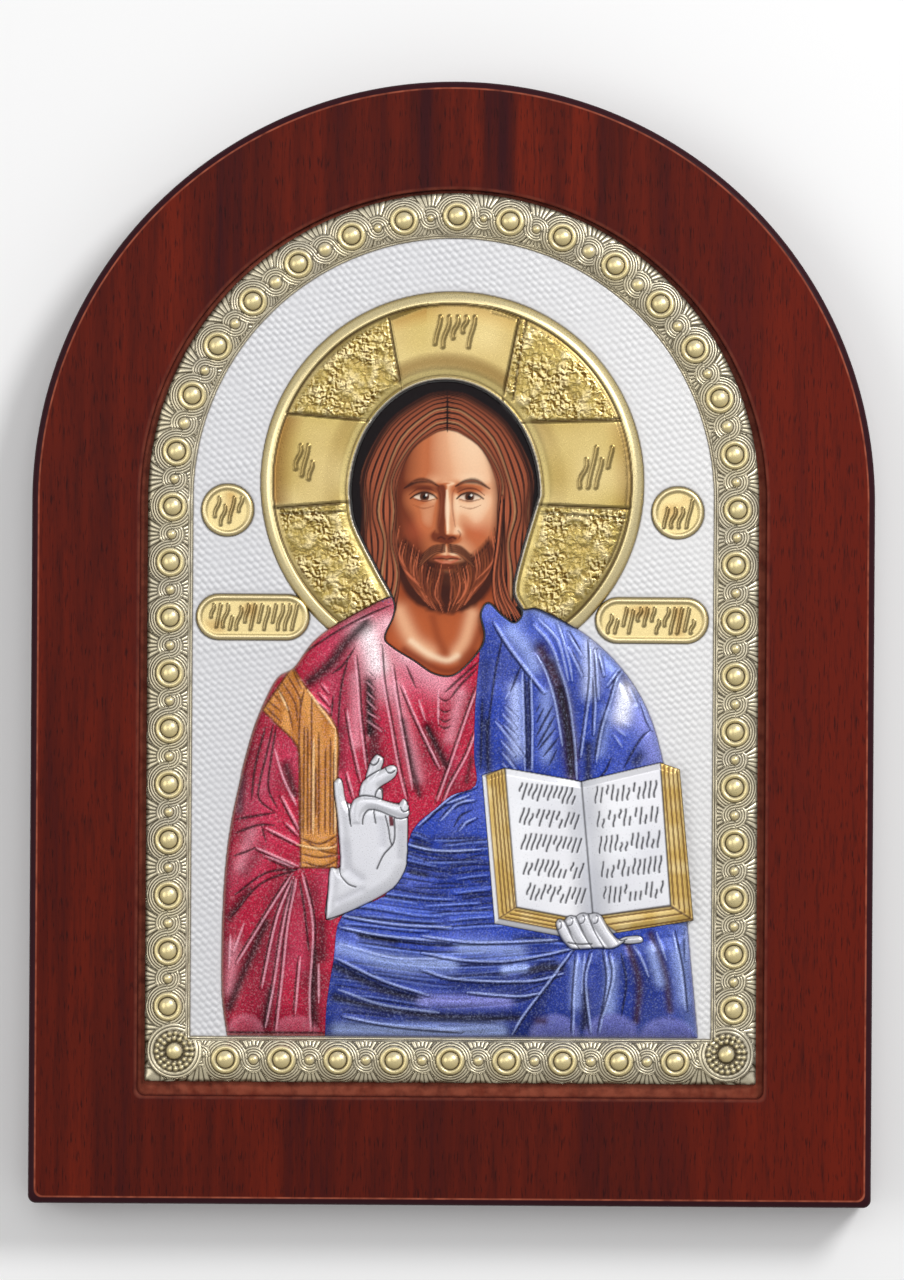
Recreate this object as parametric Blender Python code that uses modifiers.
# Arched icon panel, lying on its back with the picture up.
# A routed wood board carries a pressed metal plate in its recess, and a printed head
# lies behind the plate's cut-out. Sizes are in millimetres, and MM turns them to metres.
# +X is the viewer's right, +Y the top of the arch, +Z out of the picture.
# The origin is under the middle of the board.
import math

import bmesh
import bpy
import numpy as np

MM = 0.001
GAP = 0.3

# Board
BOARD_HALF_WIDTH = 75.0
BOARD_HALF_HEIGHT = 100.0
BOARD_THICKNESS = 15.0
BOARD_CORNER = 1.4
ARRIS = 1.0
FRAME_WIDTH = 19.3
RECESS_DEPTH = 2.2
RECESS_FLOOR = BOARD_THICKNESS - RECESS_DEPTH
RECESS_HALF_WIDTH = BOARD_HALF_WIDTH - FRAME_WIDTH
RECESS_ARCH_Y = BOARD_HALF_HEIGHT - BOARD_HALF_WIDTH
RECESS_BOTTOM = FRAME_WIDTH - BOARD_HALF_HEIGHT

# Plate: its outline, its border band and the woven ground inside the band
PLATE_BASE = RECESS_FLOOR + GAP
PLATE_HALF_WIDTH = 54.2
PLATE_ARCH_Y = 25.9
PLATE_BOTTOM = -78.2
PLATE_CORNER = 0.6
BAND_WIDTH = 8.0
BAND_LEVEL = 14.3
GROUND_LEVEL = 14.0
BEAD = 0.3
BEAD_HALF_WIDTH = 0.7

# Rosettes on the band
ROSETTE_RADII = (3.8, 2.4, 1.75)
ROSETTE_LEVELS = (14.35, 15.0, 14.75)
ROSETTE_TOP = 15.5
ROSETTE_FOOT = 13.7
ROSETTE_SIDES = 8
ROSETTE_SHIFT = 0.3
BAND_CENTRE = 50.3
ARCH_ANGLES_DEG = (10.8, 21.9, 34.1, 46.1, 57.6, 68.9, 80.7, 91.9)
SIDE_PITCH = 9.88
BOTTOM_PITCH = 10.0
BOTTOM_ROW_Y = -74.2
CORNER_ROSETTE = (49.1, -72.8)

# Halo
HALO_CENTRE = (-0.25, 28.5)
HALO_RADIUS = 34.1
HALO_RING = 31.9
HALO_RISE = 1.3
HALO_SHOULDER = 6.0
ARM_HALF_WIDTH_RIM = 12.0
ARM_HALF_WIDTH_HEAD = 9.3
SIDE_ARM_TOP = 40.0
SIDE_ARM_FOOT = 24.4
ARM_RISE = 0.4
ARM_MARGIN = 1.0

# Small raised pads on the ground
MEDALLIONS = ((-40.2, 23.5), (39.9, 23.5))
MEDALLION_RADIUS = 4.7
PLAQUES = ((-35.6, 4.5), (35.4, 4.3))
PLAQUE_HALF_LENGTH = 10.1
PLAQUE_HALF_HEIGHT = 4.1
PAD_RISE = 0.7
PAD_RIM = 0.9
PAD_FACE_DROP = 0.35
PAD_FACE_SLOPE = 0.3

# Head: an oval of hair, and below it the neck opening
HEAD_CENTRE = (-1.6, 26.5)
HEAD_HALF_WIDTH = 16.9
HEAD_HALF_HEIGHT = 20.4
NECK_POINTS = (
    (-17.6, 21.0), (-13.6, 13.0), (-10.9, 8.0), (-10.7, 5.0), (-12.3, 1.0), (-10.6, -1.0), (-7.0, -3.2),
    (-3.2, -5.6), (0.6, -5.6), (4.6, -1.6), (5.8, 1.4), (5.1, 5.2), (6.3, 7.1), (8.6, 5.0), (11.0, 3.6),
    (12.5, 5.6), (10.9, 9.2), (12.0, 15.2),
)
LIP_RISE = 0.35
LIP_HALF_WIDTH = 1.2
PRINT_TOP = 14.6

# Half figure
FIGURE_LEFT = (
    (-10.5, 8.4), (-20.6, 3.4), (-28.2, -4.5), (-34.0, -11.9), (-37.8, -25.0), (-40.3, -40.8),
    (-40.7, -56.0), (-39.7, -70.0),
)
FIGURE_RIGHT = (
    (44.0, -70.0), (42.6, -56.0), (41.0, -40.0), (38.6, -26.0), (35.6, -14.0), (31.0, -5.5),
    (24.0, 1.4), (15.5, 6.2), (12.4, 6.2), (10.0, 9.0), (6.0, 9.5),
)
FIGURE_RISE = 1.9
FIGURE_SHOULDER = 6.0
LOWER_MANTLE = (
    (-22.3, -70.0), (-21.2, -60.0), (-19.6, -48.0), (-8.0, -54.0), (8.0, -56.5), (24.0, -55.0),
    (42.0, -51.5), (43.0, -57.0), (44.0, -70.0),
)
LOWER_MANTLE_RISE = 0.35

# Fold families: two guide lines, the number of folds between them, width and rise
CHEST_FOLDS = (((-18.5, -3), (-19, -12), (-17, -24)), ((3.5, -5), (1.5, -14), (-2, -28)), 7, 1.3, 0.45)
SHOULDER_FOLDS = (((-13, 7), (-20, 3), (-27, -2)), ((-14, 0), (-20, -5.5), (-25.5, -10)), 3, 1.5, 0.45)
SLEEVE_FOLDS = (((-33, -13), (-36.5, -22), (-36, -31)), ((-29, -19), (-28.5, -26), (-27, -31)), 3, 1.5, 0.4)
ELBOW_FOLDS = (
    ((-39.5, -34), (-33, -33.2), (-28, -34.8)), ((-38.5, -42), (-33, -40.6), (-28, -40)), 4, 1.2, 0.4,
)
CUFF_FOLDS = (((-28, -42), (-37, -50), (-39.2, -68)), ((-24.8, -43), (-24, -56), (-24, -68)), 6, 1.6, 0.5)
MANTLE_FOLDS = (((8, 3), (14.5, -2), (16, -22)), ((29.5, -4), (26.5, -11), (26, -22)), 6, 1.4, 0.5)
HEM_FOLDS = (((6, -1), (4.8, -13), (5.2, -30)), ((8.6, 0), (6.8, -13), (6.9, -23)), 2, 1.0, 0.5)
SASH_FOLDS = (((-8, -34), (-1, -35.6), (6, -34.5)), ((-18, -53), (-4, -55.4), (8, -53.5)), 8, 1.2, 0.4)
KNEE_FOLDS = (((-20, -58), (-4, -60.5), (17, -58.5)), ((-21.5, -68), (-4, -69), (11, -68)), 4, 1.6, 0.5)
HANGING_FOLDS = (((22.5, -56), (20, -62), (16, -69)), ((40.5, -52), (41.5, -60), (42.5, -69)), 6, 1.5, 0.5)
FOLD_FAMILIES = (
    CHEST_FOLDS, SHOULDER_FOLDS, SLEEVE_FOLDS, ELBOW_FOLDS, CUFF_FOLDS, MANTLE_FOLDS, HEM_FOLDS,
    SASH_FOLDS, KNEE_FOLDS, HANGING_FOLDS,
)

# Open book
BOOK_OUTLINE = ((5.5, -23.7), (9.7, -22.4), (23.3, -24.7), (37.3, -21.3), (40.7, -22.6),
                (43.4, -49.4), (29.0, -51.7), (20.0, -52.3), (8.0, -50.2))
BOOK_SPINE = ((23.3, -24.0), (25.7, -52.5))
BOOK_LEVEL = 16.4
BOOK_SPINE_DROP = 0.5
BOOK_SPINE_WIDTH = 3.0
BOOK_EDGE = 1.2
BOOK_EDGE_DROP = 0.5

# Hands: a palm and fingers as (line, half width)
PALM_LINE = ((-14.5, -33.0), (-14.0, -38.5), (-18.0, -44.5))
PALM_HALF_WIDTH = 6.0
PALM_CROWN = 0.5
FINGERS = (
    (((-20.0, -25.0), (-19.0, -33.0)), 1.3),
    (((-13.4, -21.0), (-15.8, -27.0), (-16.0, -32.0)), 1.3),
    (((-10.6, -23.2), (-14.5, -26.0), (-16.5, -31.0)), 1.3),
    (((-9.0, -29.3), (-14.0, -29.5)), 1.4),
    (((-9.3, -31.5), (-10.5, -37.0)), 1.8),
)
HOLDING_START = (20.2, -49.9)
HOLDING_STEP = 2.2
HOLDING_SLANT = (0.9, -3.6)
HOLDING_COUNT = 4
FINGER_HALF_WIDTH = 1.15
HAND_LEVEL = 16.3
FINGER_LEVEL = 16.8
HOLDING_LEVEL = 16.9
FINGER_DEPTH = 1.0

# Fineness
ARCH_STEPS = 60
SPLINE_STEPS = 4
RELIEF_SPACING = 0.75
RELIEF_KEEP = 0.029
RELIEF_MARGIN = 1.5


def arch_outline(half_width, arch_y, bottom, corner):
    """Outline with a half-round top and two small bottom corners, anticlockwise."""
    def arc(centre_x, centre_y, radius, start, end, steps):
        angles = np.radians(np.linspace(start, end, steps + 1))
        return [(centre_x + radius * math.cos(a), centre_y + radius * math.sin(a)) for a in angles]

    corner_x = half_width - corner
    corner_y = bottom + corner
    return (
        arc(corner_x, corner_y, corner, -90, 0, 3)
        + arc(0, arch_y, half_width, 0, 180, ARCH_STEPS)
        + arc(-corner_x, corner_y, corner, 180, 270, 3)
    )


def spline(points, steps=SPLINE_STEPS):
    """Points along an open smooth curve through the given ones."""
    pts = np.array(points, dtype=float)
    pts = np.vstack([2 * pts[0] - pts[1], pts, 2 * pts[-1] - pts[-2]])
    out = []
    for p0, p1, p2, p3 in zip(pts, pts[1:], pts[2:], pts[3:]):
        for t in np.arange(steps) / steps:
            out.append(0.5 * (
                2 * p1 + (p2 - p0) * t + (2 * p0 - 5 * p1 + 4 * p2 - p3) * t ** 2
                + (3 * p1 - p0 - 3 * p2 + p3) * t ** 3
            ))
    out.append(pts[-2])
    return np.array(out)


def head_outline():
    """Anticlockwise outline of the cut-out: the hair's oval, then the neck opening."""
    angles = np.linspace(0, math.pi, 25)
    oval = np.column_stack([
        HEAD_CENTRE[0] + HEAD_HALF_WIDTH * np.cos(angles),
        HEAD_CENTRE[1] + HEAD_HALF_HEIGHT * np.sin(angles),
    ])
    neck = spline([tuple(oval[-1])] + list(NECK_POINTS) + [tuple(oval[0])])
    return np.vstack([oval, neck[1:-1]])


def grown(outline, amount):
    """The same closed outline moved outward by an amount."""
    def unit(steps):
        return steps / np.linalg.norm(steps, axis=1)[:, None]

    ahead = unit(np.roll(outline, -1, axis=0) - outline)
    behind = unit(outline - np.roll(outline, 1, axis=0))
    along = unit(ahead + behind)
    return outline + amount * np.column_stack([along[:, 1], -along[:, 0]])


def distance(x, y, path, closed=False):
    """Distance of each place from a line of points."""
    pts = np.array(path, dtype=float)
    if closed:
        pts = np.vstack([pts, pts[:1]])
    nearest = np.full(x.shape, 1e9)
    for (ax, ay), (bx, by) in zip(pts, pts[1:]):
        dx, dy = bx - ax, by - ay
        t = np.clip(((x - ax) * dx + (y - ay) * dy) / (dx * dx + dy * dy + 1e-12), 0, 1)
        nearest = np.minimum(nearest, np.hypot(x - ax - t * dx, y - ay - t * dy))
    return nearest


def depth_inside(x, y, outline):
    """Distance from a closed outline, positive inside it."""
    pts = np.array(outline, dtype=float)
    crossed = np.zeros(x.shape, dtype=bool)
    for (ax, ay), (bx, by) in zip(pts, np.roll(pts, -1, axis=0)):
        if ay != by:
            crossed ^= ((ay > y) != (by > y)) & (x < (bx - ax) * (y - ay) / (by - ay) + ax)
    return np.where(crossed, 1.0, -1.0) * distance(x, y, pts, closed=True)


def arch_depth(x, y, half_width, arch_y, bottom):
    """Distance inside an arched outline."""
    round_part = half_width - np.hypot(x, y - arch_y)
    straight_part = np.minimum(half_width - np.abs(x), y - bottom)
    return np.where(y > arch_y, round_part, straight_part)


def shoulder(depth, reach):
    """0 at an edge, rising in a quarter round to 1 at the reach."""
    t = np.clip(depth / reach, 0, 1)
    return np.sqrt(np.clip(1 - (1 - t) ** 2, 0, 1))


def ridge(x, y, path, half_width, rise):
    """A rounded ridge along a line."""
    t = np.clip(distance(x, y, path) / half_width, 0, 1)
    return rise * (1 - t * t) ** 2


def family(guide_a, guide_b, count):
    """Fold lines spread evenly between two guide lines."""
    a = spline(guide_a)
    b = spline(guide_b)
    return [a + (b - a) * t for t in np.linspace(0, 1, count)]


def figure_outline():
    return np.vstack([spline(FIGURE_LEFT), spline(FIGURE_RIGHT)])


def pad(depth):
    """A raised pad with a rounded rim and a level face inside it."""
    face = np.clip((depth - PAD_RIM) / PAD_FACE_SLOPE, 0, 1)
    return PAD_RISE * shoulder(depth, PAD_RIM / 2) - PAD_FACE_DROP * face


def halo_rise(x, y):
    """The halo's disc, its ring and the three arms of the cross."""
    cx, cy = HALO_CENTRE
    r = np.hypot(x - cx, y - cy)
    rise = HALO_RISE * shoulder(HALO_RADIUS - r, HALO_SHOULDER)
    taper = np.clip((y - HEAD_CENTRE[1] - HEAD_HALF_HEIGHT) / (HALO_RING - HEAD_HALF_HEIGHT), 0, 1)
    half_top = ARM_HALF_WIDTH_HEAD + (ARM_HALF_WIDTH_RIM - ARM_HALF_WIDTH_HEAD) * taper
    in_top_arm = (np.abs(x - cx) < half_top) & (y > HEAD_CENTRE[1])
    in_side_arm = (y > SIDE_ARM_FOOT) & (y < SIDE_ARM_TOP)
    arms = (in_top_arm | in_side_arm | (r > HALO_RING)) & (r < HALO_RADIUS - ARM_MARGIN)
    return rise + ARM_RISE * arms


def relief(x, y):
    """Level of the plate's face, in millimetres above the floor."""
    depth = arch_depth(x, y, PLATE_HALF_WIDTH, PLATE_ARCH_Y, PLATE_BOTTOM)
    on_band = depth < BAND_WIDTH
    z = np.where(on_band, BAND_LEVEL, GROUND_LEVEL)
    on_bead = on_band & (depth > BAND_WIDTH - 2 * BEAD_HALF_WIDTH)
    z = z + BEAD * on_bead

    z = np.maximum(z, GROUND_LEVEL + halo_rise(x, y))
    for cx, cy in MEDALLIONS:
        z = z + pad(MEDALLION_RADIUS - np.hypot(x - cx, y - cy))
    reach = PLAQUE_HALF_LENGTH - PLAQUE_HALF_HEIGHT
    for cx, cy in PLAQUES:
        along = np.clip(x, cx - reach, cx + reach)
        z = z + pad(PLAQUE_HALF_HEIGHT - np.hypot(x - along, y - cy))

    in_figure = depth_inside(x, y, figure_outline())
    in_head = depth_inside(x, y, head_outline())
    body = GROUND_LEVEL + FIGURE_RISE * shoulder(in_figure, FIGURE_SHOULDER)
    body = body + LOWER_MANTLE_RISE * shoulder(depth_inside(x, y, spline(LOWER_MANTLE)), 2.0)
    for guide_a, guide_b, count, half_width, rise in FOLD_FAMILIES:
        folds = np.zeros(x.shape)
        for line in family(guide_a, guide_b, count):
            folds = np.maximum(folds, ridge(x, y, line, half_width, rise))
        body = body + folds
    z = np.where(in_figure > 0, np.maximum(z, body), z)
    z = z + LIP_RISE * np.clip(1 - np.abs(in_head) / LIP_HALF_WIDTH, 0, 1)

    in_book = depth_inside(x, y, BOOK_OUTLINE)
    spine = distance(x, y, BOOK_SPINE)
    book = BOOK_LEVEL - BOOK_SPINE_DROP * np.exp(-(spine / BOOK_SPINE_WIDTH) ** 2)
    book = book - BOOK_EDGE_DROP * (1 - np.clip(in_book / BOOK_EDGE, 0, 1))
    z = np.where(in_book > 0, np.maximum(z - FIGURE_RISE, book), z)

    palm = distance(x, y, spline(PALM_LINE))
    palm_level = HAND_LEVEL - PALM_CROWN * (palm / PALM_HALF_WIDTH) ** 2
    z = np.where(palm < PALM_HALF_WIDTH, np.maximum(z, palm_level), z)
    holding = [
        (((HOLDING_START[0] + k * HOLDING_STEP, HOLDING_START[1]),
          (HOLDING_START[0] + k * HOLDING_STEP + HOLDING_SLANT[0], HOLDING_START[1] + HOLDING_SLANT[1])),
         FINGER_HALF_WIDTH)
        for k in range(HOLDING_COUNT)
    ]
    for fingers, level in ((FINGERS, FINGER_LEVEL), (holding, HOLDING_LEVEL)):
        for line, half_width in fingers:
            inside = half_width - distance(x, y, line)
            finger = level + FINGER_DEPTH * (shoulder(inside, half_width) - 1)
            z = np.where(inside > 0, np.maximum(z, finger), z)
    return z


def new_material(name, colour, metallic, roughness):
    material = bpy.data.materials.new(name)
    material.use_nodes = True
    shader = material.node_tree.nodes["Principled BSDF"]
    shader.inputs["Base Color"].default_value = (*colour, 1.0)
    shader.inputs["Metallic"].default_value = metallic
    shader.inputs["Roughness"].default_value = roughness
    material.diffuse_color = (*colour, 1.0)
    return material


def solid_from_outline(name, outline, low, high, collection):
    """A closed prism: a filled flat curve, extruded both ways and turned into a mesh."""
    curve = bpy.data.curves.new(name, "CURVE")
    curve.dimensions = "2D"
    curve.fill_mode = "BOTH"
    curve.extrude = (high - low) / 2 * MM
    line = curve.splines.new("POLY")
    line.points.add(len(outline) - 1)
    for point, (x, y) in zip(line.points, outline):
        point.co = (x * MM, y * MM, 0.0, 1.0)
    line.use_cyclic_u = True
    drawn = bpy.data.objects.new(name + "_drawn", curve)
    drawn.location.z = (low + high) / 2 * MM
    collection.objects.link(drawn)
    bpy.context.view_layer.update()
    depsgraph = bpy.context.evaluated_depsgraph_get()
    mesh = bpy.data.meshes.new_from_object(drawn.evaluated_get(depsgraph))
    bm = bmesh.new()
    bm.from_mesh(mesh)
    bmesh.ops.remove_doubles(bm, verts=bm.verts, dist=1e-6)
    bmesh.ops.recalc_face_normals(bm, faces=bm.faces)
    bm.to_mesh(mesh)
    bm.free()
    solid = bpy.data.objects.new(name, mesh)
    solid.matrix_world = drawn.matrix_world
    collection.objects.link(solid)
    bpy.data.objects.remove(drawn)
    return solid


def boolean(target, cutter, operation):
    modifier = target.modifiers.new(operation.lower(), "BOOLEAN")
    modifier.operation = operation
    modifier.object = cutter
    modifier.solver = "EXACT"


def make_board(collection, cutters):
    outline = arch_outline(BOARD_HALF_WIDTH, RECESS_ARCH_Y, -BOARD_HALF_HEIGHT, BOARD_CORNER)
    board = solid_from_outline("wood_board", outline, 0.0, BOARD_THICKNESS, collection)
    bevel = board.modifiers.new("arris", "BEVEL")
    bevel.width = ARRIS * MM
    bevel.segments = 2
    bevel.limit_method = "ANGLE"
    bevel.angle_limit = math.radians(60)
    recess = arch_outline(RECESS_HALF_WIDTH, RECESS_ARCH_Y, RECESS_BOTTOM, BOARD_CORNER)
    cutter = solid_from_outline("recess_cutter", recess, RECESS_FLOOR, BOARD_THICKNESS + 5, cutters)
    boolean(board, cutter, "DIFFERENCE")
    board.data.materials.append(new_material("stained_wood", (0.115, 0.018, 0.011), 0.0, 0.38))
    return board


def make_rosettes(cutters):
    """All rosettes as turned domes in one mesh, ready to be joined to the plate."""
    centres = [(0.0, PLATE_ARCH_Y + BAND_CENTRE)]
    for degrees in ARCH_ANGLES_DEG:
        angle = math.radians(degrees)
        across = BAND_CENTRE * math.sin(angle)
        height = PLATE_ARCH_Y + BAND_CENTRE * math.cos(angle)
        centres += [(side * across + ROSETTE_SHIFT, height) for side in (-1, 1)]
    side_top = centres[-1][1]
    for k in range(1, 10):
        centres += [(side * BAND_CENTRE, side_top - k * SIDE_PITCH) for side in (-1, 1)]
    centres += [(k * BOTTOM_PITCH, BOTTOM_ROW_Y) for k in range(-4, 5)]
    centres += [(side * CORNER_ROSETTE[0], CORNER_ROSETTE[1]) for side in (-1, 1)]

    radii = (ROSETTE_RADII[0],) + ROSETTE_RADII
    levels = (ROSETTE_FOOT,) + ROSETTE_LEVELS
    bm = bmesh.new()
    for cx, cy in centres:
        rings = []
        for radius, level in zip(radii, levels):
            ring = []
            for s in range(ROSETTE_SIDES):
                turn = 2 * math.pi * s / ROSETTE_SIDES
                x = cx + radius * math.cos(turn)
                y = cy + radius * math.sin(turn)
                ring.append(bm.verts.new((x * MM, y * MM, level * MM)))
            rings.append(ring)
        top = bm.verts.new((cx * MM, cy * MM, ROSETTE_TOP * MM))
        bm.faces.new(rings[0][::-1])
        for low, high in zip(rings, rings[1:]):
            for s in range(ROSETTE_SIDES):
                n = (s + 1) % ROSETTE_SIDES
                bm.faces.new((low[s], low[n], high[n], high[s]))
        for s in range(ROSETTE_SIDES):
            bm.faces.new((rings[-1][s], rings[-1][(s + 1) % ROSETTE_SIDES], top))
    mesh = bpy.data.meshes.new("rosettes")
    bm.to_mesh(mesh)
    bm.free()
    rosettes = bpy.data.objects.new("rosettes", mesh)
    cutters.objects.link(rosettes)
    return rosettes


def make_plate(collection, cutters):
    """A grid raised to the relief, closed underneath, thinned and cut to its outlines."""
    width = 2 * (PLATE_HALF_WIDTH + RELIEF_MARGIN)
    low_y = PLATE_BOTTOM - RELIEF_MARGIN
    high_y = PLATE_ARCH_Y + PLATE_HALF_WIDTH + RELIEF_MARGIN
    bm = bmesh.new()
    bmesh.ops.create_grid(
        bm,
        x_segments=round(width / RELIEF_SPACING),
        y_segments=round((high_y - low_y) / RELIEF_SPACING),
        size=0.5,
    )
    for vert in bm.verts:
        vert.co.x *= width * MM
        vert.co.y = (low_y + (vert.co.y + 0.5) * (high_y - low_y)) * MM
        vert.co.z = PLATE_BASE * MM
    grown_part = bmesh.ops.extrude_face_region(bm, geom=bm.faces[:])
    top = [item for item in grown_part["geom"] if isinstance(item, bmesh.types.BMVert)]
    places = np.array([(vert.co.x, vert.co.y) for vert in top]) / MM
    for vert, level in zip(top, relief(places[:, 0], places[:, 1])):
        vert.co.z = level * MM
    bmesh.ops.recalc_face_normals(bm, faces=bm.faces)
    mesh = bpy.data.meshes.new("pressed_plate")
    bm.to_mesh(mesh)
    bm.free()
    plate = bpy.data.objects.new("pressed_plate", mesh)
    collection.objects.link(plate)

    thin = plate.modifiers.new("thin", "DECIMATE")
    thin.ratio = RELIEF_KEEP
    outline = arch_outline(PLATE_HALF_WIDTH, PLATE_ARCH_Y, PLATE_BOTTOM, PLATE_CORNER)
    boolean(plate, solid_from_outline("plate_cutter", outline, 5, 25, cutters), "INTERSECT")
    boolean(plate, make_rosettes(cutters), "UNION")
    head = grown(head_outline(), GAP / 2)
    boolean(plate, solid_from_outline("head_cutter", head, 5, 25, cutters), "DIFFERENCE")
    plate.data.materials.append(new_material("pressed_metal", (0.72, 0.68, 0.58), 0.9, 0.34))
    return plate


def make_print(collection):
    outline = grown(head_outline(), -GAP / 2)
    face = solid_from_outline("face_print", outline, PLATE_BASE, PRINT_TOP, collection)
    face.data.materials.append(new_material("printed_picture", (0.42, 0.14, 0.06), 0.0, 0.3))
    return face


def main():
    for thing in list(bpy.data.objects):
        bpy.data.objects.remove(thing)
    icon = bpy.data.collections.new("icon_panel")
    cutters = bpy.data.collections.new("cutters")
    bpy.context.scene.collection.children.link(icon)
    bpy.context.scene.collection.children.link(cutters)
    make_board(icon, cutters)
    make_plate(icon, cutters)
    make_print(icon)
    for cutter in cutters.objects:
        cutter.hide_render = True
        cutter.display_type = "WIRE"


main()
